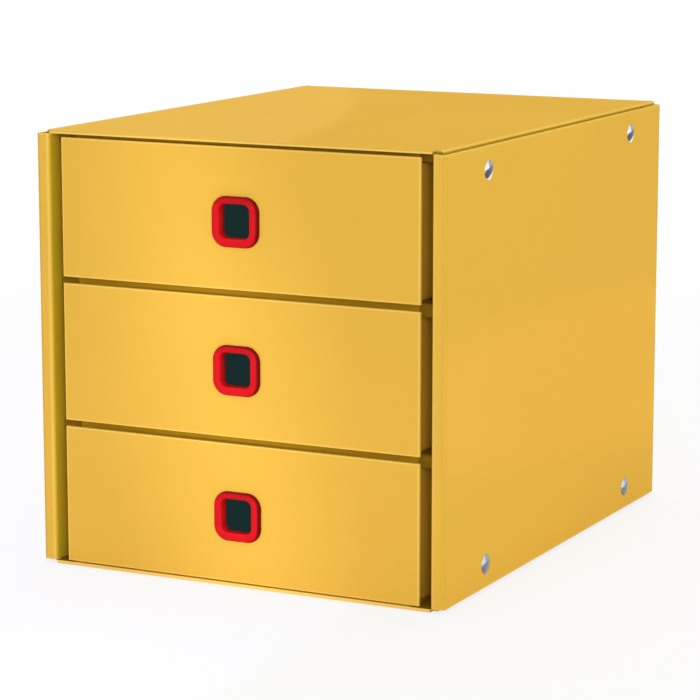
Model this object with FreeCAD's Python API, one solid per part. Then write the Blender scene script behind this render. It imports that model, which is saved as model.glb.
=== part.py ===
import FreeCAD, Part
import math
import os

# Desktop drawer unit of folded laminated board, in millimetres.
# X runs across the front, +Y from the drawer fronts to the back, +Z up.
# The origin is on the ground, under the middle of the whole unit.

# The unit
unit_width = 286.0
unit_depth = 358.0
drawer_count = 3

# The board that every panel is cut and folded from
board = 2.0
fold_inner = 0.3  # inside radius of a folded edge
edge_gap = 0.3  # between the edge of one board and the face of another

# Drawer fronts
front_height = 88.9
gap_under_front = 0.6
gap_over_front = 1.6
top_slack = 0.7  # extra room over the top drawer
side_recess = 8.2  # between a front and the side wall
front_setback = 1.5  # behind the front strips of the side walls
front_edge_round = 0.5
panel_setback = 0.5  # top and bottom panel, behind the front strips

# Press studs
stud_room = 2.6  # between the two boards that a stud joins
stud_fit = 0.1  # play between the parts of a stud and round its shanks
stud_sides = 10  # flats round the parts hidden between the boards
cap_sides = 24
cap_steps = 3  # from the edge of the dome to its crown
rivet_flange = 0.5
socket_diameter = 10.5
socket_bore = 5.4
socket_web = 0.4
cap_diameter = 12.5
cap_height = 1.5
shank_diameter = 4.0
post_diameter = 9.4
knob_diameter = 5.0
eyelet_diameter = 8.4

# Flaps of the top and bottom panel inside the side walls
flap_height = 30.0
flap_from_front = 5.5
flap_from_back = 28.0
flap_chamfer = 8.0
stud_from_front = 62.0
stud_from_back = 57.5
glue_lap = 20.0
glue_line = 0.1

# Shelves between the drawers
shelf_setback = 12.0
lip_drop = 6.0  # below the underside of the shelf
tab_width = 30.0
tab_barb = 1.5
tab_end_gap = 1.2  # between a tab and the outer board
tab_from_end = 62.0
slot_fit = 0.2
rail_depth = 22.0  # of the angle glued under the front of the top panel

# Drawer trays
tray_side_gap = 12.8  # between a tray and the side wall
tray_glide = 0.3  # under the tray
tray_back_gap = 0.5
tray_under_lip = 0.7
corner_tab_length = 38.0
corner_tab_chamfer = 6.0
corner_relief = 1.0  # cut out past the folds where two of them meet

# Finger rings
ring_size = 32.8
ring_corner = 9.6
ring_proud = 2.5
ring_outer_round = 1.9
ring_inner_round = 2.2
ring_round_steps = 3
corner_sides = 6  # flats round each corner of a ring and its holes
ring_opening = 21.6
ring_opening_corner = 4.6
ring_tube_wall = 1.6
ring_drop = 2.0  # below the middle of the front
ring_fit = 0.15
retainer_size = 30.0
retainer_thickness = 1.2

# Worked out from the sizes above
fold_outer = fold_inner + board
half_width = unit_width / 2
bay_height = gap_under_front + front_height + gap_over_front
bay_pitch = bay_height + board
unit_height = board + drawer_count * bay_pitch + top_slack
y_front = -(unit_depth - (ring_proud - front_setback)) / 2
y_back = y_front + unit_depth

# Layers of a hollow side wall, from the outer board in
rivet_room = rivet_flange + stud_fit
x_hollow = half_width - board
x_flap = x_hollow - stud_room
x_flap_inside = x_flap - board
x_wall_hidden = x_flap_inside - rivet_room
x_wall = x_wall_hidden - board
wall_bottom = board + edge_gap
wall_top = unit_height - wall_bottom
wall_stud_rows = (y_front + stud_from_front, y_back - stud_from_back)
wall_stud_heights = (wall_bottom + flap_height / 2, wall_top - flap_height / 2)

# Shelves
x_shelf = x_wall - edge_gap
y_lip = y_front + shelf_setback
y_shelf_back = y_back - board - edge_gap
tab_centres = (y_lip + tab_from_end, y_shelf_back - tab_from_end)

# Drawers
y_front_face = y_front + front_setback
y_tray = y_front_face + board
y_tray_back = y_back - board - tray_back_gap
x_front = x_wall - side_recess
x_tray = x_wall - tray_side_gap
x_corner_tab = x_tray - board - glue_line
tray_top = bay_height - lip_drop - tray_under_lip
ring_height = gap_under_front + front_height / 2 - ring_drop
tube_size = ring_opening + 2 * ring_tube_wall
tube_corner = ring_opening_corner + ring_tube_wall


def vec(x, y, z):
    return FreeCAD.Vector(x, y, z)


def floor_of(bay):
    """Height of the surface that the drawer of a bay slides on."""
    return board + bay * bay_pitch


def block(x0, x1, y0, y1, z0, z1):
    return Part.makeBox(x1 - x0, y1 - y0, z1 - z0, vec(x0, y0, z0))


def joined(shapes):
    """One solid from pieces that touch."""
    return shapes[0].multiFuse(shapes[1:]).removeSplitter().Solids[0]


def other_side(shape):
    return shape.mirror(vec(0, 0, 0), vec(1, 0, 0))


def both_sides(shape):
    return [shape, other_side(shape)]


# Folded board


def point_on(plane, u, v, w):
    """The flat point (u, v) of a plane, at w along the axis that the plane lacks."""
    if plane == "xy":
        return vec(u, v, w)
    if plane == "xz":
        return vec(u, w, v)
    return vec(w, u, v)


def direction(a, b):
    length = math.hypot(b[0] - a[0], b[1] - a[1])
    return (b[0] - a[0]) / length, (b[1] - a[1]) / length


def stepped(point, heading, distance):
    return point[0] + heading[0] * distance, point[1] + heading[1] * distance


def inner_face(points):
    """A square-cornered path moved to its left by the thickness of the board."""
    moved = list(points)
    for i, (a, b) in enumerate(zip(points, points[1:])):
        du, dv = direction(a, b)
        moved[i] = stepped(moved[i], (-dv, du), board)
        moved[i + 1] = stepped(moved[i + 1], (-dv, du), board)
    return moved


def rounded_edges(points, radii, space):
    """Straight runs, with a tangent arc at each corner of a path."""
    edges = []
    last = points[0]
    for before, corner, after, radius in zip(points, points[1:], points[2:], radii):
        start = stepped(corner, direction(corner, before), radius)
        end = stepped(corner, direction(corner, after), radius)
        centre = (start[0] + end[0] - corner[0], start[1] + end[1] - corner[1])
        middle = stepped(centre, direction(centre, corner), radius)
        edges.append(Part.LineSegment(space(last), space(start)).toShape())
        edges.append(Part.Arc(space(start), space(middle), space(end)).toShape())
        last = end
    edges.append(Part.LineSegment(space(last), space(points[-1])).toShape())
    return edges


def folded_board(points, plane, start, end):
    """A board folded to the left along a path of square corners.

    The path is the face outside the folds, the board lies to its left, and it
    runs from start to end along the axis that the plane lacks.
    """
    def space(point):
        return point_on(plane, point[0], point[1], start)

    folds = len(points) - 2
    inside = inner_face(points)[::-1]
    edges = rounded_edges(points, [fold_outer] * folds, space)
    edges.append(Part.LineSegment(space(points[-1]), space(inside[0])).toShape())
    edges += rounded_edges(inside, [fold_inner] * folds, space)
    edges.append(Part.LineSegment(space(inside[-1]), space(points[0])).toShape())
    profile = Part.Face(Part.Wire(edges))
    return profile.extrude(point_on(plane, 0, 0, end - start))


def flat_face(corners):
    return Part.Face(Part.makePolygon(corners + corners[:1]))


def plate(points, plane, start, end):
    """A plate with straight sides."""
    corners = [point_on(plane, u, v, start) for u, v in points]
    return flat_face(corners).extrude(point_on(plane, 0, 0, end - start))


def faceted(plane, sections):
    """A solid of flat faces through outlines with equally many corners.

    Each section is its place along the axis that the plane lacks, and its
    points. The sides of neighbouring outlines are parallel.
    """
    rings = [[point_on(plane, u, v, w) for u, v in points] for w, points in sections]
    faces = [flat_face(rings[0]), flat_face(rings[-1])]
    for near, far in zip(rings, rings[1:]):
        for i in range(len(near)):
            faces.append(flat_face([near[i - 1], near[i], far[i], far[i - 1]]))
    return Part.Solid(Part.Shell(faces))


# Press studs, modelled along X with the outer face of the outer board at X = 0


def ring_of_points(diameter, sides, y=0.0, z=0.0):
    turns = [2 * math.pi * k / sides for k in range(sides)]
    return [(y + diameter / 2 * math.cos(turn), z + diameter / 2 * math.sin(turn)) for turn in turns]


def flatted(diameter, x0, x1, y=0.0, z=0.0):
    """A bar along X with flats round it, between two values of X."""
    return plate(ring_of_points(diameter, stud_sides, y, z), "yz", x0, x1)


def stud_cap():
    """The dome outside the board, with the shank that holds the socket."""
    rim = cap_diameter / 2
    dome = (rim ** 2 + cap_height ** 2) / (2 * cap_height)
    half_angle = math.asin(rim / dome)
    sections = []
    for step in range(cap_steps):
        angle = half_angle * (1 - step / cap_steps)
        height = cap_height - dome * (1 - math.cos(angle))
        sections.append((height, ring_of_points(2 * dome * math.sin(angle), cap_sides)))
    shank = flatted(shank_diameter, -(board + socket_web), 0)
    return joined([faceted("yz", sections), shank])


def stud_socket():
    """The ring under the outer board, open towards the post."""
    near = -board
    far = -(board + stud_room - rivet_flange - stud_fit)
    ring = flatted(socket_diameter, far, near)
    hole = flatted(shank_diameter + 2 * stud_fit, far, near)
    return ring.cut([flatted(socket_bore, far, near - socket_web), hole])


def stud_post():
    """The post riveted through the inner board, with its knob in the socket."""
    face = -(board + stud_room)
    back = face - board
    knob = flatted(knob_diameter, face, -(board + socket_web + stud_fit))
    flange = flatted(post_diameter, face, face + rivet_flange)
    shank = flatted(shank_diameter, back, face)
    eyelet = flatted(eyelet_diameter, back - rivet_flange, back)
    return joined([knob, flange, shank, eyelet])


def at_studs(piece):
    """Copies of a piece at each stud of the right side."""
    return [piece.translated(vec(0, y, z)) for y in wall_stud_rows for z in wall_stud_heights]


def shank_holes(x0, x1):
    return at_studs(flatted(shank_diameter + 2 * stud_fit, x0, x1))


# The carcass


def wrap_edge():
    """The bottom panel's right edge, folded up into a flap inside the side wall.

    The fold starts behind the front strip, and the panel's front corner is cut
    back to the room between the side walls.
    """
    y0 = y_front + flap_from_front
    y1 = y_back - flap_from_back
    flap_top = wall_bottom + flap_height
    strip = folded_board([(x_shelf, 0), (x_flap, 0), (x_flap, flap_top)], "xz", y0, y_back)
    shoulder = flap_top - flap_chamfer
    flap = plate(
        [
            (y0, wall_bottom),
            (y1, wall_bottom),
            (y1, shoulder),
            (y1 - flap_chamfer, flap_top),
            (y0 + flap_chamfer, flap_top),
            (y0, shoulder),
        ],
        "yz",
        x_shelf,
        x_flap,
    )
    waste = block(x_shelf, x_flap, y0, y_back, wall_bottom, flap_top).cut(flap)
    return strip.cut(waste)


def carcass_wrap():
    """Bottom, back and top in one board, with a flap along each side."""
    y_edge = y_front + panel_setback
    run = [(y_edge, 0), (y_back, 0), (y_back, unit_height), (y_edge, unit_height)]
    low = both_sides(wrap_edge())
    high = [edge.mirror(vec(0, 0, unit_height / 2), vec(0, 0, 1)) for edge in low]
    wrap = joined([folded_board(run, "yz", -x_shelf, x_shelf)] + low + high)
    holes = shank_holes(x_flap_inside, x_flap)
    return wrap.cut(holes + [other_side(hole) for hole in holes])


def shelf_heights():
    return [floor_of(bay) for bay in range(1, drawer_count)]


def side_panel():
    """The hollow right wall, folded round from the inner wall to its glued lap."""
    x_lap = x_wall_hidden + glue_line
    run = [
        (x_wall, y_back - edge_gap),
        (x_wall, y_front),
        (half_width, y_front),
        (half_width, y_back),
        (x_lap, y_back),
        (x_lap, y_back - glue_lap),
    ]
    panel = folded_board(run, "xy", wall_bottom, wall_top)
    cuts = shank_holes(x_hollow, half_width)
    reach = tab_width / 2 + slot_fit
    for top in shelf_heights():
        for y in tab_centres:
            slot = block(x_wall, x_wall_hidden, y - reach, y + reach, top - board - slot_fit, top + slot_fit)
            cuts.append(slot)
    return panel.cut(cuts)


def shelf(top):
    """A shelf with a lip folded down at each end and barbed tabs at the sides."""
    low = top - board - lip_drop
    run = [(y_shelf_back, low), (y_shelf_back, top), (y_lip, top), (y_lip, low)]
    pieces = [folded_board(run, "yz", -x_shelf, x_shelf)]
    x_barb = x_wall_hidden + edge_gap
    x_tip = x_hollow - tab_end_gap
    half = tab_width / 2
    for y in tab_centres:
        tab = plate(
            [
                (x_shelf, y - half),
                (x_barb, y - half),
                (x_barb, y - half - tab_barb),
                (x_tip, y - half),
                (x_tip, y + half),
                (x_barb, y + half + tab_barb),
                (x_barb, y + half),
                (x_shelf, y + half),
            ],
            "xy",
            top - board,
            top,
        )
        pieces += both_sides(tab)
    return joined(pieces)


def top_rail():
    """The angle under the top panel, whose lip lines up with the lips of the shelves."""
    high = unit_height - board
    low = high - lip_drop
    run = [(y_lip + rail_depth, high), (y_lip, high), (y_lip, low)]
    return folded_board(run, "yz", -x_shelf, x_shelf)


# The drawers


def corner_tab(floor):
    """The front right corner of a tray: the wall's end, folded back as a tab."""
    x_start = x_corner_tab - fold_outer - corner_relief
    y_end = y_tray + corner_tab_length
    low = floor + tray_glide + board + corner_relief
    high = floor + tray_top
    tab = folded_board([(x_start, y_tray), (x_corner_tab, y_tray), (x_corner_tab, y_end)], "xy", low, high)
    cut = corner_tab_chamfer
    below = plate([(y_end - cut, low), (y_end, low), (y_end, low + cut)], "yz", x_start, x_corner_tab)
    above = plate([(y_end - cut, high), (y_end, high), (y_end, high - cut)], "yz", x_start, x_corner_tab)
    return tab.cut([below, above])


def tray(floor):
    """Floor, front, back and sides in one board, with tabs glued in the corners."""
    low = floor + tray_glide
    high = floor + tray_top
    x_flat = x_corner_tab - fold_outer - corner_relief
    ends_run = [(y_tray, high), (y_tray, low), (y_tray_back, low), (y_tray_back, high)]
    ends = folded_board(ends_run, "yz", -x_flat, x_flat)
    sides_run = [(-x_tray, high), (-x_tray, low), (x_tray, low), (x_tray, high)]
    y0 = y_tray + edge_gap
    y1 = y_tray_back - edge_gap
    relief = fold_outer + corner_relief
    sides = folded_board(sides_run, "xz", y0, y1)
    front_relief = block(-x_tray, x_tray, y0, y_tray + relief, low, low + relief)
    back_relief = block(-x_tray, x_tray, y_tray_back - relief, y1, low, low + relief)
    front_tabs = both_sides(corner_tab(floor))
    back_tabs = [tab.mirror(vec(0, (y_tray + y_tray_back) / 2, 0), vec(0, 1, 0)) for tab in front_tabs]
    whole = joined([ends, sides.cut([front_relief, back_relief])] + front_tabs + back_tabs)
    return whole.cut(ring_hole(floor))


def rounded_square(size, corner, z):
    """The corners of a rounded square across Y, centred on X = 0 and z."""
    flat = size / 2 - corner
    points = []
    for step in range(4 * (corner_sides + 1)):
        quarter, side = divmod(step, corner_sides + 1)
        across, up = [(flat, flat), (-flat, flat), (-flat, -flat), (flat, -flat)][quarter]
        turn = math.pi / 2 * (quarter + side / corner_sides)
        points.append((across + corner * math.cos(turn), z + up + corner * math.sin(turn)))
    return points


def rounded_bar(size, corner, y0, y1, z):
    """A bar along Y with a rounded square section."""
    return plate(rounded_square(size, corner, z), "xz", y0, y1)


def ring_hole(floor):
    """What is cut from the boards that the tube of a ring passes through."""
    size = tube_size + 2 * ring_fit
    return rounded_bar(size, tube_corner + ring_fit, y_front_face, y_tray + board, floor + ring_height)


def drawer_front(floor):
    low = floor + gap_under_front
    panel = block(-x_front, x_front, y_front_face, y_tray, low, low + front_height)
    outer_edges = [edge for edge in panel.Edges if edge.BoundBox.YMax < y_front_face + front_edge_round]
    panel = panel.makeFillet(front_edge_round, outer_edges)
    return panel.cut(ring_hole(floor))


def eased_sections(size, corner, radius, growth, y_crest, z):
    """Outlines round an eased edge, from a rounded square to the crest at y_crest.

    The outline grows with a growth of 1 and shrinks with -1 towards the crest.
    """
    sections = []
    for step in range(ring_round_steps + 1):
        angle = math.pi / 2 * step / ring_round_steps
        inset = growth * radius * (1 - math.cos(angle))
        y = y_crest + radius * (1 - math.sin(angle))
        sections.append((y, rounded_square(size + 2 * inset, corner + inset, z)))
    return sections


def pull_ring(floor):
    """The finger ring: a domed rounded-square rim and the tube through the boards."""
    z = floor + ring_height
    y_crest = y_front_face - ring_proud
    y_end = y_tray + board + retainer_thickness
    base = (y_front_face, rounded_square(ring_size, ring_corner, z))
    rim = faceted("xz", [base] + eased_sections(ring_size, ring_corner, ring_outer_round, -1, y_crest, z))
    tube = rounded_bar(tube_size, tube_corner, y_front_face, y_end, z)
    deep = (y_end, rounded_square(ring_opening, ring_opening_corner, z))
    flare = eased_sections(ring_opening, ring_opening_corner, ring_inner_round, 1, y_crest, z)
    return joined([rim, tube]).cut(faceted("xz", [deep] + flare))


def ring_retainer(floor):
    """The collar pressed on the tube, behind the tray's front wall."""
    z = floor + ring_height
    y0 = y_tray + board
    y1 = y0 + retainer_thickness
    corner = tube_corner + (retainer_size - tube_size) / 2
    collar = rounded_bar(retainer_size, corner, y0, y1, z)
    return collar.cut(rounded_bar(tube_size + 2 * ring_fit, tube_corner + ring_fit, y0, y1, z))


def level_names():
    """Lower, middle and upper where there are three drawers, or else numbers."""
    if drawer_count == 3:
        return ["lower", "middle", "upper"]
    return [f"level_{bay + 1}" for bay in range(drawer_count)]


def carcass_pieces():
    pieces = {"carcass_wrap": carcass_wrap(), "top_rail": top_rail()}
    for name, top in zip(level_names(), shelf_heights()):
        pieces[f"shelf_over_{name}_drawer"] = shelf(top)
    one_side = {
        "side_panel": side_panel(),
        "stud_caps": Part.makeCompound(at_studs(stud_cap().translated(vec(half_width, 0, 0)))),
        "stud_sockets": Part.makeCompound(at_studs(stud_socket().translated(vec(half_width, 0, 0)))),
        "stud_posts": Part.makeCompound(at_studs(stud_post().translated(vec(half_width, 0, 0)))),
    }
    for name, shape in one_side.items():
        pieces[f"right_{name}"] = shape
        pieces[f"left_{name}"] = other_side(shape)
    return pieces


def drawer_pieces(name, floor):
    return {
        f"{name}_drawer_tray": tray(floor),
        f"{name}_drawer_front": drawer_front(floor),
        f"{name}_pull_ring": pull_ring(floor),
        f"{name}_ring_retainer": ring_retainer(floor),
    }


nodes = carcass_pieces()
for bay, name in enumerate(level_names()):
    nodes.update(drawer_pieces(name, floor_of(bay)))

os.makedirs("parts", exist_ok=True)
for name, shape in nodes.items():
    shape.exportStep(f"parts/{name}.step")
    print(name, "solids", len(shape.Solids), "volume", round(shape.Volume), "valid", shape.isValid())
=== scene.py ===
import math

import bmesh
import bpy
from mathutils import Matrix, Vector


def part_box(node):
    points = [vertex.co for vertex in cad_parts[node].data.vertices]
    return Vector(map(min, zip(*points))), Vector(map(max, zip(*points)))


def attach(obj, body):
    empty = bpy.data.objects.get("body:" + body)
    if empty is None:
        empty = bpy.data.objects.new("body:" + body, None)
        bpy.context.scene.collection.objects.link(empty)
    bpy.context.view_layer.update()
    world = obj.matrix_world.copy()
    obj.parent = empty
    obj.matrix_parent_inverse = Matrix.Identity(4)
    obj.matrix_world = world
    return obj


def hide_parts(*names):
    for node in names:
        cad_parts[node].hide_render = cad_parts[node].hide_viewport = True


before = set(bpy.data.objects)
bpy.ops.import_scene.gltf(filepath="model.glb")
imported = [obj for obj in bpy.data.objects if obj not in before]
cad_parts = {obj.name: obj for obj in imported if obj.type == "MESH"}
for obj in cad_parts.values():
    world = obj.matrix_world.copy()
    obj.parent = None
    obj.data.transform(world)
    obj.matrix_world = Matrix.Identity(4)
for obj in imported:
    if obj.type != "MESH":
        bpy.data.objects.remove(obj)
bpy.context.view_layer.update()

MM = 0.001
LEVELS = ("lower", "middle", "upper")
SIDES = {"right": 1, "left": -1}

# Places in the CAD model, in metres
wall_low, wall_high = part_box("right_side_panel")
wrap_low, wrap_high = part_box("carcass_wrap")
tray_low, tray_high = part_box("lower_drawer_tray")
caps_low, caps_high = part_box("right_stud_caps")
HEIGHT = wrap_high.z
HALF_WIDTH = wall_high.x
X_WALL = wall_low.x
X_FLAP = wrap_high.x
X_TRAY = tray_high.x
Y_STRIP = wall_low.y
Y_PANEL = wrap_low.y
Y_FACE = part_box("lower_drawer_front")[0].y
Y_TRAY = tray_low.y

# Thicknesses and plays that the boxes don't give
BOARD = 2.0 * MM
NOTCH_DEPTH = 5.5 * MM
NOTCH_PLAY = 0.3 * MM
SLACK = 0.05 * MM

# The finger rings: left, right, lower and upper side of the bore, rim and tube, from a ring's middle
BORE = (-10.8 * MM, 10.5 * MM, -10.35 * MM, 11.35 * MM)
RIM = (-16.2 * MM, 16.7 * MM, -15.75 * MM, 15.95 * MM)
TUBE = (-12.4 * MM, 12.4 * MM, -12.4 * MM, 12.4 * MM)
BORE_CORNER = 4.6 * MM
RIM_CORNER = 9.6 * MM
TUBE_CORNER = 6.2 * MM
RIM_WIDTH = 5.2 * MM
RIM_PROUD = 2.8 * MM
RIM_INNER_ROUND = 1.5 * MM
RIM_OUTER_ROUND = 2.1 * MM
RETAINER_DEPTH = 1.2 * MM

# The press studs' caps
CAP_RADIUS = 6.25 * MM
CAP_HEIGHT = 1.5 * MM
SHANK_RADIUS = 2.0 * MM
SHANK_LENGTH = 2.4 * MM
STUD_ROWS = (caps_low.y + CAP_RADIUS, caps_high.y - CAP_RADIUS)
STUD_HEIGHTS = (caps_low.z + CAP_RADIUS, caps_high.z - CAP_RADIUS)


# Colours


def srgb(red, green, blue):
    """A linear colour from values of 0 to 255."""
    def linear(value):
        value /= 255
        return value / 12.92 if value <= 0.04045 else ((value + 0.055) / 1.055) ** 2.4

    return (linear(red), linear(green), linear(blue), 1.0)


YELLOW = srgb(231, 183, 72)
# Painted shade: the side walls' inner faces in the recess, olive, and deeper behind the fronts
INNER_WALL_PAINTED_SHADE = srgb(228, 197, 46)
DEEP_WALL_PAINTED_SHADE = srgb(196, 158, 36)
# Painted shade: the trays' outer tone, set to their look in the shaded recess beside the fronts
TRAY_PAINTED_SHADE_TONE = srgb(233, 184, 58)
# Painted shade: the shelves and top rail darker overall, as they sit in shade behind the fronts
SHELF_PAINTED_SHADE_TONE = srgb(212, 164, 36)
# Painted shade: the dark line of the slots beside the top and bottom panel
SLOT_PAINTED_SHADE = srgb(186, 160, 38)
# Painted shade: the dark lower half behind the notches
NOTCH_PAINTED_SHADE = srgb(158, 146, 48)
# Painted shade: dark brown for the recesses beside the drawers
RECESS_PAINTED_SHADE = srgb(146, 110, 24)
# Painted highlight: a paler tone along edges and folds where light catches them
EDGE_PAINTED_HIGHLIGHT = srgb(242, 201, 95)
# Painted highlight on the panels' front edges
CUT_EDGE_PAINTED_HIGHLIGHT = srgb(244, 206, 110)
# Painted shade along the fold of each front strip
FOLD_PAINTED_SHADE = srgb(221, 175, 66)
LINING = srgb(34, 58, 58)
# Painted light: a faint glow of the trays' lining
LINING_PAINTED_GLOW = srgb(24, 43, 43)

RING_RED = srgb(214, 17, 28)
# Painted shade along the rings' tops and outer flanks, painted light in their bores
RING_TOP_PAINTED_SHADE = srgb(192, 15, 24)
RING_BORE_PAINTED_LIGHT = srgb(238, 32, 36)
RING_SHADE = srgb(118, 5, 8)
RETAINER_BLACK = srgb(34, 36, 38)

PLATING = srgb(216, 216, 220)
# Painted reflections and highlights for the domed caps, with lighter and darker copies for the upper
# and lower caps
UPPER_CAP_PAINTED_HIGHLIGHT = srgb(242, 240, 240)
UPPER_CAP_PAINTED_DARK_REFLECTION = (srgb(82, 80, 86), srgb(90, 102, 126))
UPPER_CAP_PAINTED_CRESCENT = srgb(242, 240, 236)
LOWER_CAP_PAINTED_HIGHLIGHT = srgb(206, 214, 214)
LOWER_CAP_PAINTED_DARK_REFLECTION = (srgb(140, 132, 146), srgb(106, 120, 140))
CAP_PAINTED_GREY_REFLECTION = srgb(148, 158, 172)

BLACK = (0.0, 0.0, 0.0, 1.0)
WHITE = (1.0, 1.0, 1.0, 1.0)
STAGE_WHITE = (0.94, 0.94, 0.94, 1.0)


# Node trees


class Nodes:
    """A node tree, built by short calls."""

    def __init__(self, tree):
        self.tree = tree

    def set(self, socket, value):
        if isinstance(value, bpy.types.NodeSocket):
            self.tree.links.new(value, socket)
        else:
            socket.default_value = value

    def node(self, kind, inputs=None, **settings):
        made = self.tree.nodes.new(kind)
        for key, value in settings.items():
            setattr(made, key, value)
        for key, value in (inputs or {}).items():
            self.set(made.inputs[key], value)
        return made

    def math(self, operation, *values):
        return self.node("ShaderNodeMath", dict(enumerate(values)), operation=operation).outputs[0]

    def product(self, first, *others):
        """What several masks have in common."""
        for other in others:
            first = self.math("MULTIPLY", first, other)
        return first

    def ramp(self, value, low, high, to_low=0.0, to_high=1.0):
        made = self.node(
            "ShaderNodeMapRange",
            {"Value": value, "From Min": low, "From Max": high, "To Min": to_low, "To Max": to_high},
            interpolation_type="SMOOTHSTEP",
        )
        return made.outputs[0]

    def mix(self, factor, a, b, blend="MIX"):
        """A mix of two colours; the numbers are the node's sockets for colours."""
        made = self.node("ShaderNodeMix", data_type="RGBA", blend_type=blend)
        self.set(made.inputs[0], factor)
        self.set(made.inputs[6], a)
        self.set(made.inputs[7], b)
        return made.outputs[2]

    def tinted(self, colour, factor):
        """A colour made lighter or darker by a factor about 1."""
        grey = self.node("ShaderNodeCombineXYZ", {0: factor, 1: factor, 2: factor}).outputs[0]
        return self.mix(1.0, colour, grey, "MULTIPLY")

    def background_rays(self):
        """1 for the rays that show the white background: straight, reflected and refracted ones."""
        rays = self.node("ShaderNodeLightPath").outputs
        indirect = self.math("MAXIMUM", rays["Is Glossy Ray"], rays["Is Transmission Ray"])
        return self.math("MAXIMUM", rays["Is Camera Ray"], indirect)


class Shader(Nodes):
    """A surface material's nodes, with the place on the object."""

    def __init__(self, name):
        self.material = bpy.data.materials.new(name)
        self.material.use_nodes = True
        super().__init__(self.material.node_tree)
        self.bsdf = self.tree.nodes["Principled BSDF"]
        self.coordinates = self.node("ShaderNodeTexCoord").outputs
        self.axes = {}

    def axis_of(self, kind, axis):
        if kind not in self.axes:
            self.axes[kind] = self.node("ShaderNodeSeparateXYZ", {0: self.coordinates[kind]}).outputs
        return self.axes[kind][axis]

    def position(self, axis):
        return self.axis_of("Object", axis)

    def normal(self, axis):
        return self.axis_of("Normal", axis)

    def away(self, axis, middle=0.0):
        """Distance along an axis to either side of a middle."""
        place = self.position(axis)
        return self.math("ABSOLUTE", self.math("SUBTRACT", place, middle) if middle else place)

    def noise(self, scale, detail=2.0, rough=0.5, stretch=(1, 1, 1)):
        place = self.node("ShaderNodeMapping", {"Vector": self.coordinates["Object"], "Scale": stretch})
        inputs = {"Vector": place.outputs[0], "Scale": scale, "Detail": detail, "Roughness": rough}
        return self.node("ShaderNodeTexNoise", inputs).outputs["Fac"]

    def bump(self, height, distance, strength=1.0, under=None):
        inputs = {"Height": height, "Distance": distance, "Strength": strength}
        if under is not None:
            inputs["Normal"] = under
        return self.node("ShaderNodeBump", inputs).outputs[0]

    def finish(self, **sockets):
        for key, value in sockets.items():
            self.set(self.bsdf.inputs[key.replace("_", " ")], value)
        return self.material


def film_grain(s):
    """The fine grain of the board's film and lining."""
    return s.noise(1400.0, 2.0, 0.6)


# Zones of the board: each gives a mask and the tone painted there, mostly painted shade and painted
# highlights; the trays' lining is their own colour


def deep_in_slot(s):
    """The flaps in the slots between the side walls and the top and bottom panel, painted darker as the
    slots' shade.
    """
    return s.ramp(s.away("X"), X_FLAP - 0.2 * MM, X_FLAP - 0.02 * MM), SLOT_PAINTED_SHADE


def fold_along_slot(s):
    """Painted highlight on the folds of the top and bottom panel beside the slots."""
    inner = s.ramp(s.away("X"), X_FLAP - 1.6 * MM, X_FLAP - 1.0 * MM, 0.0, 0.7)
    outer = s.ramp(s.away("X"), X_FLAP - 0.1 * MM, X_FLAP - 0.4 * MM)
    return s.product(inner, outer), EDGE_PAINTED_HIGHLIGHT


def cut_edge(s):
    """The front edges of the bottom and top panel, with a pale painted highlight but for the top one's
    upper half.
    """
    mask = s.ramp(s.position("Y"), Y_PANEL + 0.5 * MM, Y_PANEL + 0.1 * MM)
    upper_half = s.ramp(s.position("Z"), HEIGHT - 1.2 * MM, HEIGHT - 0.9 * MM)
    return mask, s.mix(upper_half, CUT_EDGE_PAINTED_HIGHLIGHT, YELLOW)


def notch_end(s):
    """Painted shade on the lower half of the faces behind the notches in the top panel's front corners.
    """
    front = s.math("LESS_THAN", s.position("Y"), Y_STRIP + NOTCH_DEPTH + SLACK)
    outside = s.math("GREATER_THAN", s.away("X"), X_WALL - NOTCH_PLAY - SLACK)
    lower_half = s.ramp(s.position("Z"), HEIGHT - 0.6 * MM, HEIGHT - 1.2 * MM)
    of_top_panel = s.math("GREATER_THAN", s.position("Z"), HEIGHT / 2)
    return s.product(front, outside, lower_half, of_top_panel), NOTCH_PAINTED_SHADE


def beside_trays(s):
    """1 outside the trays' side walls."""
    return s.ramp(s.away("X"), X_TRAY - 1.5 * MM, X_TRAY)


def floor_of_recess(s):
    """The upper face of the bottom panel beside the drawers, painted dark brown as the recess's shade.
    """
    upper_face = s.math("COMPARE", s.position("Z"), BOARD, SLACK)
    behind_edge = s.math("GREATER_THAN", s.position("Y"), Y_PANEL + 0.5 * MM)
    return s.product(beside_trays(s), upper_face, behind_edge), RECESS_PAINTED_SHADE


def shelf_in_recess(s):
    """A shelf or the top rail where it stands out beside the drawers, painted dark brown as the
    recess's shade.
    """
    return beside_trays(s), RECESS_PAINTED_SHADE


def inner_wall(s):
    """The faces of a side wall towards the drawers, with painted shade: an olive shade tone, deeper
    behind the front.
    """
    mask = s.ramp(s.away("X"), X_WALL + 0.35 * MM, X_WALL + 0.03 * MM)
    further = s.ramp(s.position("Y"), Y_STRIP + 13.0 * MM, Y_STRIP + 16.0 * MM)
    # Painted shade, deeper further behind the front strip
    return mask, s.mix(further, INNER_WALL_PAINTED_SHADE, DEEP_WALL_PAINTED_SHADE)


def edges_of_wall(s):
    """Painted highlight on a side wall's upper and lower edges and the fold from its inner face to its
    front strip.
    """
    up = s.away("Z", HEIGHT / 2)
    ends = s.ramp(up, HEIGHT / 2 - 3.5 * MM, HEIGHT / 2 - 2.8 * MM, 0.0, 0.6)
    front = s.math("LESS_THAN", s.position("Y"), Y_STRIP + 1.3 * MM)
    inner = s.ramp(s.away("X"), X_WALL + 0.4 * MM, X_WALL + 0.9 * MM, 0.0, 0.7)
    outer = s.ramp(s.away("X"), X_WALL + 2.6 * MM, X_WALL + 1.8 * MM)
    return s.math("MAXIMUM", ends, s.product(front, inner, outer)), EDGE_PAINTED_HIGHLIGHT


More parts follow.
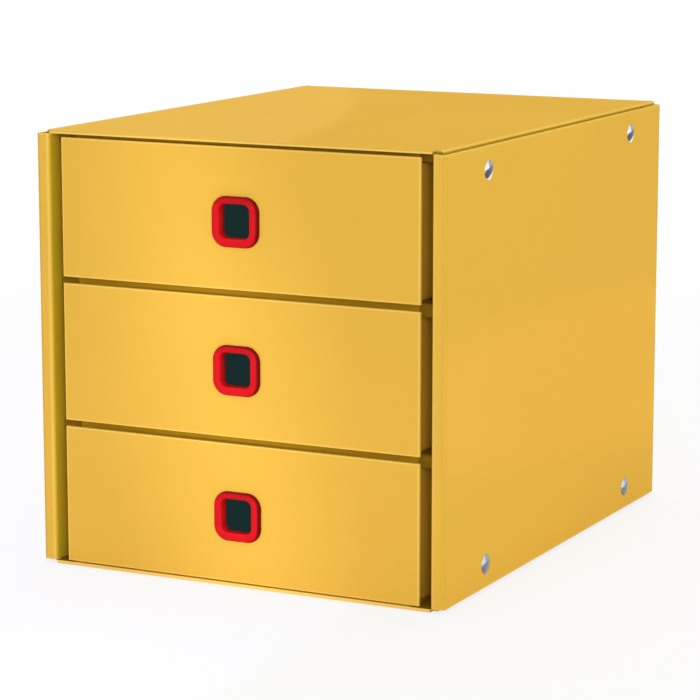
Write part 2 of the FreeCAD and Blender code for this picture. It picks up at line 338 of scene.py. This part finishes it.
def front_fold(s):
    """Painted shade: a darker line along the fold where a side wall turns from its front strip to its
    outer face.
    """
    across = s.ramp(s.away("X"), HALF_WIDTH - 2.8 * MM, HALF_WIDTH - 1.6 * MM)
    along = s.ramp(s.position("Y"), Y_STRIP + 2.8 * MM, Y_STRIP + 1.6 * MM)
    return s.product(across, along), FOLD_PAINTED_SHADE


def rim_of_front(level):
    """A painted highlight on the edges all round a drawer's front."""
    low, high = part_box(f"{level}_drawer_front")
    begins = 1.5 * MM
    ends = 0.6 * MM

    def zone(s):
        half = (high.z - low.z) / 2
        upright = s.ramp(s.away("Z", low.z + half), half - begins, half - ends)
        across = s.ramp(s.away("X"), high.x - begins, high.x - ends)
        return s.math("MAXIMUM", upright, across), EDGE_PAINTED_HIGHLIGHT

    return zone


def inside_of_tray(level):
    """The dark lining on the faces round the room inside a tray, with a faint glow of painted light,
    though it is no lamp.
    """
    low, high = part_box(f"{level}_drawer_tray")
    skin = BOARD - SLACK

    def zone(s):
        across = s.math("LESS_THAN", s.away("X"), high.x - skin)
        over = s.math("GREATER_THAN", s.position("Z"), low.z + skin)
        behind = s.math("GREATER_THAN", s.position("Y"), low.y + skin)
        before = s.math("LESS_THAN", s.position("Y"), high.y - skin)
        mask = s.product(across, over, behind, before)
        # Painted light: the lining glows faintly
        s.finish(Emission_Color=s.mix(mask, BLACK, LINING_PAINTED_GLOW), Emission_Strength=1.0)
        return mask, s.tinted(LINING, s.ramp(film_grain(s), 0.25, 0.75, 0.75, 1.25))

    return zone


# Materials


def laminate(name, colour, *zones):
    """Satin film on board: faint mottling, fine grain and a slightly wavy face."""
    s = Shader(name)
    broad = s.noise(9.0, 3.0)
    grain = film_grain(s)
    fibre = s.noise(260.0, 3.0, 0.55, (1, 1, 0.25))
    # The zones paint their tones: painted shade, painted highlights, and the trays' lining with its
    # painted glow
    for zone in zones:
        mask, tone = zone(s)
        colour = s.mix(mask, colour, tone)
    mottling = s.ramp(broad, 0.3, 0.7, 0.985, 1.015)
    shade = s.math("ADD", mottling, s.ramp(grain, 0.3, 0.7, -0.012, 0.012))
    wavy = s.bump(s.noise(16.0, 1.0), 0.0009, 0.35)
    fine = s.bump(grain, 0.00002, 0.5, s.bump(fibre, 0.00005, 0.4, wavy))
    return s.finish(
        Base_Color=s.tinted(colour, shade),
        Roughness=s.math("ADD", s.ramp(fibre, 0.3, 0.7, -0.03, 0.03), 0.42),
        Normal=fine,
        Metallic=0.05,
        Specular_IOR_Level=0.0,
    )


def plastic(name, colour):
    """Moulded plastic with a fine spark-eroded texture; its colour may come from a function."""
    s = Shader(name)
    mould = s.noise(2600.0, 2.0, 0.6)
    cloud = s.noise(180.0, 2.0)
    surface = colour(s) if callable(colour) else colour
    return s.finish(
        Base_Color=s.tinted(surface, s.ramp(cloud, 0.3, 0.7, 0.97, 1.03)),
        Roughness=s.ramp(cloud, 0.3, 0.7, 0.38, 0.48),
        Normal=s.bump(mould, 0.00001, 0.4),
        Specular_IOR_Level=0.06,
    )


def reds_of_ring(z):
    """A finger ring's reds with painted light and shade: lighter in its bore, deeper along its top and
    on its outer flank.
    """
    top = (9.5 * MM, 12.5 * MM)
    bore = (11.7 * MM, 10.9 * MM)
    flank = (14.4 * MM, 16.0 * MM)

    def surface(s):
        powers = [s.math("POWER", distance, 4.0) for distance in (s.away("X"), s.away("Z", z))]
        out = s.math("POWER", s.math("ADD", *powers), 0.25)
        up = s.math("SUBTRACT", s.position("Z"), z)
        # Painted shade along the top, painted light in the bore, painted shade on the outer flank
        face = s.mix(s.ramp(up, *top), RING_RED, RING_TOP_PAINTED_SHADE)
        face = s.mix(s.ramp(out, *bore), face, RING_BORE_PAINTED_LIGHT)
        return s.mix(s.ramp(out, *flank), face, RING_SHADE)

    return surface


def nickel(name, colour):
    """Polished plating with hairlines and a few dull spots; its colour may come from a function."""
    s = Shader(name)
    hair = s.noise(900.0, 2.0, 0.6, (1, 1, 0.08))
    spots = s.noise(420.0, 2.0)
    surface = colour(s) if callable(colour) else colour
    return s.finish(
        Base_Color=s.tinted(surface, s.ramp(spots, 0.3, 0.7, 0.96, 1.02)),
        Metallic=1.0,
        Roughness=s.math("ADD", s.ramp(hair, 0.3, 0.7, 0.10, 0.18), s.ramp(spots, 0.6, 0.8, 0.0, 0.08)),
        Normal=s.bump(hair, 0.000004, 0.5),
    )


def painted_dome_reflection(s):
    """Painted reflection of the studio in a cap's dome: dark under a slanting line, bright over it,
    greyer to the back.

    The upper caps have a painted bright crescent at their lower back.
    """
    steepest = 0.355
    line_rise, line_height = 0.35, 0.34
    backward, downward = 0.62, 0.78
    along = s.math("DIVIDE", s.normal("Y"), steepest)
    up = s.math("DIVIDE", s.normal("Z"), steepest)
    on_upper = s.math("GREATER_THAN", s.position("Z"), HEIGHT / 2)
    cloud = s.ramp(s.noise(600.0, 1.0), 0.4, 0.6)
    dark = s.mix(on_upper, s.mix(cloud, *LOWER_CAP_PAINTED_DARK_REFLECTION), s.mix(cloud, *UPPER_CAP_PAINTED_DARK_REFLECTION))
    white = s.mix(on_upper, LOWER_CAP_PAINTED_HIGHLIGHT, UPPER_CAP_PAINTED_HIGHLIGHT)
    bright = s.mix(s.ramp(along, -0.50, -0.15), white, CAP_PAINTED_GREY_REFLECTION)
    over = s.math("SUBTRACT", up, s.math("MULTIPLY_ADD", along, line_rise, line_height))
    surface = s.mix(s.ramp(over, -0.08, 0.12), dark, bright)
    lowness = s.math("MULTIPLY", up, downward)
    lower_back = s.math("SUBTRACT", s.math("MULTIPLY", along, backward), lowness)
    crescent = s.product(s.ramp(lower_back, 0.30, 0.46), on_upper)
    return s.mix(crescent, surface, UPPER_CAP_PAINTED_CRESCENT)


def dress(node, material):
    """Gives a CAD node its material."""
    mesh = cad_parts[node].data
    mesh.materials.clear()
    mesh.materials.append(material)


wrap_zones = (fold_along_slot, deep_in_slot, cut_edge, notch_end, floor_of_recess)
wall_board = laminate("wall_laminate", YELLOW, inner_wall, front_fold, edges_of_wall)
# Shelves and top rail: a darker tone as painted shade, dark brown painted shade beside the drawers
shelf_board = laminate("shelf_laminate", SHELF_PAINTED_SHADE_TONE, shelf_in_recess)
dark_plastic = plastic("retainer_plastic", RETAINER_BLACK)
plated = nickel("stud_plating", PLATING)
# The caps' plating carries a painted reflection
plating_with_painted_reflection = nickel("cap_plating_painted_reflection", painted_dome_reflection)

dress("carcass_wrap", laminate("wrap_laminate", YELLOW, *wrap_zones))
dress("top_rail", shelf_board)
for level in LEVELS[:2]:
    dress(f"shelf_over_{level}_drawer", shelf_board)
for side in SIDES:
    dress(f"{side}_side_panel", wall_board)
    for part in ("sockets", "posts"):
        dress(f"{side}_stud_{part}", plated)
for level in LEVELS:
    dress(f"{level}_drawer_front", laminate(f"{level}_front_laminate", YELLOW, rim_of_front(level)))
    # The trays' outer faces take a painted shade tone
    dress(f"{level}_drawer_tray", laminate(f"{level}_tray_laminate", TRAY_PAINTED_SHADE_TONE, inside_of_tray(level)))
    dress(f"{level}_ring_retainer", dark_plastic)


# Meshes


def linked(name, data):
    """A new object in the scene."""
    made = bpy.data.objects.new(name, data)
    bpy.context.scene.collection.objects.link(made)
    return made


def mesh_object(name, vertices, faces, material, smooth=True):
    """A new object from vertices and faces, with its faces turned outwards."""
    mesh = bpy.data.meshes.new(name)
    mesh.from_pydata([tuple(v) for v in vertices], [], faces)
    work = bmesh.new()
    work.from_mesh(mesh)
    bmesh.ops.recalc_face_normals(work, faces=work.faces)
    work.to_mesh(mesh)
    work.free()
    for polygon in mesh.polygons:
        polygon.use_smooth = smooth
    mesh.materials.append(material)
    return linked(name, mesh)


def lofted(rings, closed_along=False):
    """Vertices and quads through rings of equally many points."""
    count = len(rings[0])
    vertices = [point for ring in rings for point in ring]
    faces = []
    for near in range(len(rings) if closed_along else len(rings) - 1):
        far = (near + 1) % len(rings)
        for i in range(count):
            j = (i + 1) % count
            faces.append((near * count + i, near * count + j, far * count + j, far * count + i))
    return vertices, faces


def fan(hub, first, count):
    """Triangles from a hub to a ring of points."""
    return [(hub, first + i, first + (i + 1) % count) for i in range(count)]


def quarter_turn(steps):
    """Angles from 0 to a right angle."""
    return [math.pi / 2 * step / steps for step in range(steps + 1)]


def rounded_outline(sides, corner, y, z):
    """Points round a rectangle across Y with rounded corners; its sides are taken from X = 0 and z."""
    left, right, low, high = sides
    middles = [
        (right - corner, high - corner),
        (left + corner, high - corner),
        (left + corner, low + corner),
        (right - corner, low + corner),
    ]
    arcs = []
    for quarter, (across, up) in enumerate(middles):
        arc = []
        for turn in quarter_turn(12):
            turn += math.pi / 2 * quarter
            arc.append(Vector((across + corner * math.cos(turn), y, z + up + corner * math.sin(turn))))
        arcs.append(arc)
    points = []
    for arc, following in zip(arcs, arcs[1:] + arcs[:1]):
        points += arc
        points += [arc[-1].lerp(following[0], share) for share in (1 / 3, 2 / 3)]
    return points


def ring_sections():
    """A finger ring's sections, from its deep end through the bore, over the rim and back outside.

    Each section is its sides, its corners' radius and its Y.
    """
    crest = Y_FACE - RIM_PROUD
    deep = Y_TRAY + BOARD + RETAINER_DEPTH
    lead = 0.3 * MM
    crown = 0.04 * MM

    def head(out, y):
        """A section of the bore or the rim, out from the bore's side."""
        share = out / RIM_WIDTH
        sides = [a + (b - a) * share for a, b in zip(BORE, RIM)]
        return sides, BORE_CORNER + (RIM_CORNER - BORE_CORNER) * share, y

    def tube(out, y):
        left, right, low, high = TUBE
        return (left - out, right + out, low - out, high + out), TUBE_CORNER + out, y

    sections = [tube(-lead, deep), head(lead, deep), head(0.0, deep - lead)]
    sections += [head(0.0, crest + RIM_INNER_ROUND + further * MM) for further in (3.0, 1.2, 0.4)]
    for turn in quarter_turn(8):
        out = RIM_INNER_ROUND * (1 - math.cos(turn))
        sections.append(head(out, crest + RIM_INNER_ROUND * (1 - math.sin(turn))))
    sections.append(head(RIM_WIDTH * 0.46, crest - crown))
    for turn in quarter_turn(8):
        out = RIM_WIDTH - RIM_OUTER_ROUND * (1 - math.sin(turn))
        sections.append(head(out, crest + RIM_OUTER_ROUND * (1 - math.cos(turn))))
    sections += [head(RIM_WIDTH, Y_FACE - 0.1 * MM), head(RIM_WIDTH - 0.1 * MM, Y_FACE)]
    sections += [tube(0.2 * MM, Y_FACE), tube(0.0, Y_FACE + 0.2 * MM), tube(0.0, deep - lead)]
    return sections


def finger_ring(level):
    """A drawer's finger ring with its tube, in place of the CAD ring."""
    low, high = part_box(f"{level}_pull_ring")
    z = (low.z + high.z) / 2
    rings = [rounded_outline(sides, corner, y, z) for sides, corner, y in ring_sections()]
    vertices, faces = lofted(rings, closed_along=True)
    red_plastic = plastic(f"{level}_ring_plastic", reds_of_ring(z))
    made = mesh_object(f"{level}_finger_ring", vertices, faces, red_plastic)
    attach(made, f"{level}_drawer")
    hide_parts(f"{level}_pull_ring")


def cap_profile():
    """(X over the board, radius) of a stud cap: its dome, its rolled edge and its shank."""
    bead = 0.4 * MM
    dome_rim = CAP_RADIUS - 0.25 * MM
    dome_height = CAP_HEIGHT - bead
    dome = (dome_rim ** 2 + dome_height ** 2) / (2 * dome_height)
    widest = math.asin(dome_rim / dome)
    steps = 10
    profile = []
    for step in range(1, steps + 1):
        turn = widest * step / steps
        profile.append((CAP_HEIGHT - dome * (1 - math.cos(turn)), dome * math.sin(turn)))
    profile += [(0.28 * MM, CAP_RADIUS), (0.08 * MM, CAP_RADIUS - 0.02 * MM)]
    profile += [(0.0, CAP_RADIUS - 0.2 * MM), (0.0, SHANK_RADIUS)]
    profile += [(-SHANK_LENGTH, SHANK_RADIUS), (-SHANK_LENGTH, 0.6 * MM)]
    return profile


def stud_caps(side, sign):
    """The four domed caps of a side wall with their shanks, in place of the CAD caps."""
    vertices = []
    faces = []
    around = 48
    turns = [2 * math.pi * k / around for k in range(around)]
    for y in STUD_ROWS:
        for z in STUD_HEIGHTS:
            rings = []
            for out, radius in cap_profile():
                circle = [(y + radius * math.cos(t), z + radius * math.sin(t)) for t in turns]
                rings.append([Vector((sign * (HALF_WIDTH + out), *point)) for point in circle])
            points, quads = lofted(rings)
            start = len(vertices)
            crown = start + len(points)
            foot = crown + 1
            vertices += points
            vertices.append(Vector((sign * (HALF_WIDTH + CAP_HEIGHT), y, z)))
            vertices.append(Vector((sign * (HALF_WIDTH - SHANK_LENGTH), y, z)))
            faces += [tuple(start + i for i in quad) for quad in quads]
            faces += fan(crown, start, around) + fan(foot, crown - around, around)
    made = mesh_object(f"{side}_domed_caps", vertices, faces, plating_with_painted_reflection)
    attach(made, "carcass")
    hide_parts(f"{side}_stud_caps")


for level in LEVELS:
    finger_ring(level)
for side, sign in SIDES.items():
    stud_caps(side, sign)


# The floor, the light and the camera


def white_stage():
    """A pale floor that is white to the camera further out and keeps the shadow."""
    near, far = 0.3, 1.6
    half = 12.0
    below = -0.2 * MM
    s = Shader("stage_floor")
    reach = s.node("ShaderNodeVectorMath", {0: s.coordinates["Object"]}, operation="LENGTH")
    share = s.product(s.background_rays(), s.ramp(reach.outputs["Value"], near, far, 0.8, 1.0))
    tone = s.tinted(STAGE_WHITE, s.ramp(s.noise(3.0), 0.3, 0.7, 0.99, 1.0))
    diffuse = s.node("ShaderNodeBsdfDiffuse", {"Color": tone}).outputs[0]
    glow = s.node("ShaderNodeEmission", {"Color": WHITE, "Strength": 1.0}).outputs[0]
    mixed = s.node("ShaderNodeMixShader", {0: share, 1: diffuse, 2: glow}).outputs[0]
    s.tree.nodes.remove(s.bsdf)
    s.set(s.tree.nodes["Material Output"].inputs["Surface"], mixed)
    corners = [(-half, -half, below), (half, -half, below), (half, half, below), (-half, half, below)]
    floor = mesh_object("stage_floor", corners, [(0, 1, 2, 3)], s.material, smooth=False)


def white_world(level):
    """A world that is white as a background and lights the object at a level."""
    world = bpy.data.worlds.new("studio")
    bpy.context.scene.world = world
    world.use_nodes = True
    world.node_tree.nodes.clear()
    w = Nodes(world.node_tree)
    strength = w.ramp(w.background_rays(), 0.0, 1.0, level, 1.0)
    background = w.node("ShaderNodeBackground", {"Color": WHITE, "Strength": strength}).outputs[0]
    w.node("ShaderNodeOutputWorld", {"Surface": background})


def aimed(place, target):
    return (Vector(target) - Vector(place)).to_track_quat("-Z", "Y")


def soft_light(name, place, size, power):
    """A square lamp, aimed at the object's middle."""
    data = bpy.data.lights.new(name, "AREA")
    data.shape = "RECTANGLE"
    data.size = size
    data.size_y = size
    data.energy = power
    lamp = linked(name, data)
    lamp.location = place
    lamp.rotation_euler = aimed(place, (0.0, 0.0, HEIGHT / 2)).to_euler()


def beam(name, place, target, lean, spread, narrow, power, blend=1.0, size=0.05, colour=(1, 1, 1)):
    """A beam with a long narrow section, leaning by a turn about its axis, in degrees."""
    data = bpy.data.lights.new(name, "SPOT")
    data.energy = power
    data.spot_size = math.radians(spread)
    data.spot_blend = blend
    data.color = colour
    data.shadow_soft_size = size
    lamp = linked(name, data)
    turn = aimed(place, target).to_matrix().to_4x4() @ Matrix.Rotation(math.radians(lean), 4, "Z")
    lamp.matrix_world = Matrix.Translation(Vector(place)) @ turn
    lamp.scale = (narrow, 1.0, 1.0)


def photo_camera():
    """The photograph's camera, fitted to the object's edges: its place, turn, tilt and lens."""
    focal_px = 2831.41
    frame_px = 700.0
    turn = 0.4655
    tilt = 0.1807
    data = bpy.data.cameras.new("photo_camera")
    data.sensor_width = 36.0
    data.lens = focal_px / frame_px * data.sensor_width
    data.clip_start = 0.05
    data.clip_end = 60.0
    camera = linked("photo_camera", data)
    camera.location = (837.735 * MM, Y_STRIP - 1509.566 * MM, 466.780 * MM)
    camera.rotation_euler = (math.pi / 2 - tilt, 0.0, turn)
    bpy.context.scene.camera = camera


white_stage()
white_world(0.60)
soft_light("key_right", (1.45, -2.75, 1.0), 1.2, 28.0)
soft_light("side_fill", (3.1, 0.1, 0.9), 1.2, 12.8)
soft_light("top_fill", (-0.3, 0.6, 2.4), 1.6, 16.0)
beam(
    "front_band", (-0.35, -2.5, 0.30), (-0.009, Y_FACE, 0.09), lean=10.5, spread=18.0, narrow=0.205,
    power=60.0,
)
beam("low_fill", (-0.5, -2.4, 0.20), (0.0, Y_FACE, -0.02), lean=0.0, spread=13.0, narrow=1.5, power=9.0)
beam(
    "side_band", (2.6, 0.18, 0.12), (HALF_WIDTH, 0.18, 0.100), lean=85.6, spread=24.5, narrow=0.11,
    power=25.0, blend=0.25, size=0.015, colour=(0.8, 0.45, 1.0),
)
beam(
    "top_band", (-0.334, -0.13, 2.7), (-0.334, -0.13, HEIGHT), lean=20.6, spread=27.9, narrow=0.583,
    power=75.0, blend=0.04, size=0.01, colour=(0.25, 0.3, 1.0),
)
photo_camera()

bpy.context.scene.view_settings.view_transform = "Standard"
